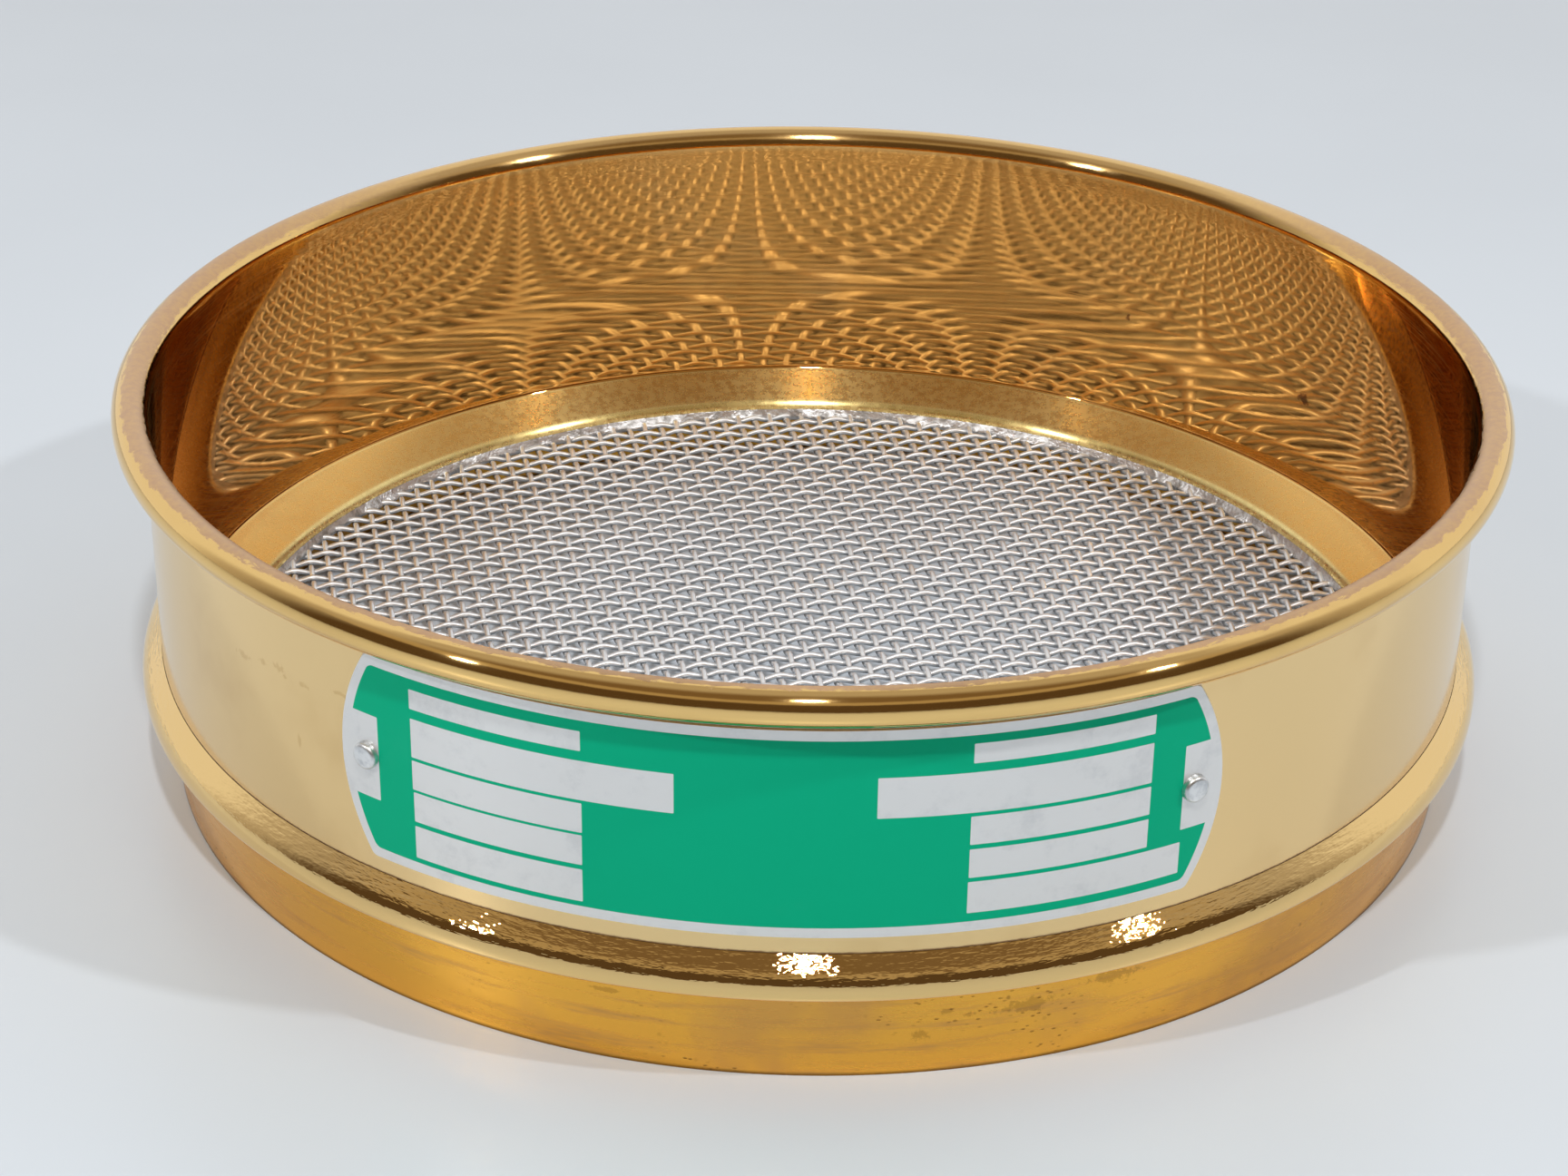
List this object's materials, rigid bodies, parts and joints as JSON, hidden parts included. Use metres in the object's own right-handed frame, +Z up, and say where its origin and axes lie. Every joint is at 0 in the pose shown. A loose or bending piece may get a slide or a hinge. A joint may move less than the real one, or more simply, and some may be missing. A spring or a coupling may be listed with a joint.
{
  "type": "test sieve",
  "caption": "Round laboratory test sieve: spun brass pan with a rolled rim, beaded nesting skirt, woven steel wire cloth under an inner ledge and a riveted nameplate.",
  "frame": {"origin": "centre of the skirt's bottom edge, on the surface the sieve stands on", "axes": "+Z up along the sieve's axis, out of the open top; -Y through the middle of the nameplate; +X to the right when facing the nameplate"},
  "size_m": [0.2108, 0.2108, 0.0616],
  "materials": {
    "polished_brass": "polished, worn on the rim",
    "tarnished_brass": "satin, tarnished and pitted",
    "stainless_wire": "bright drawn wire",
    "solder": "dull tin solder",
    "plate_aluminium": "satin, with a green printed field",
    "rivet_aluminium": "bright"
  },
  "bodies": {
    "root": {"upper_frame": "polished_brass", "skirt_ring": "tarnished_brass", "warp_wires": "stainless_wire", "weft_wires": "stainless_wire", "solder_ring": "solder", "nameplate": "plate_aluminium", "rivet_left": "rivet_aluminium", "rivet_right": "rivet_aluminium"}
  },
  "joints": []
}
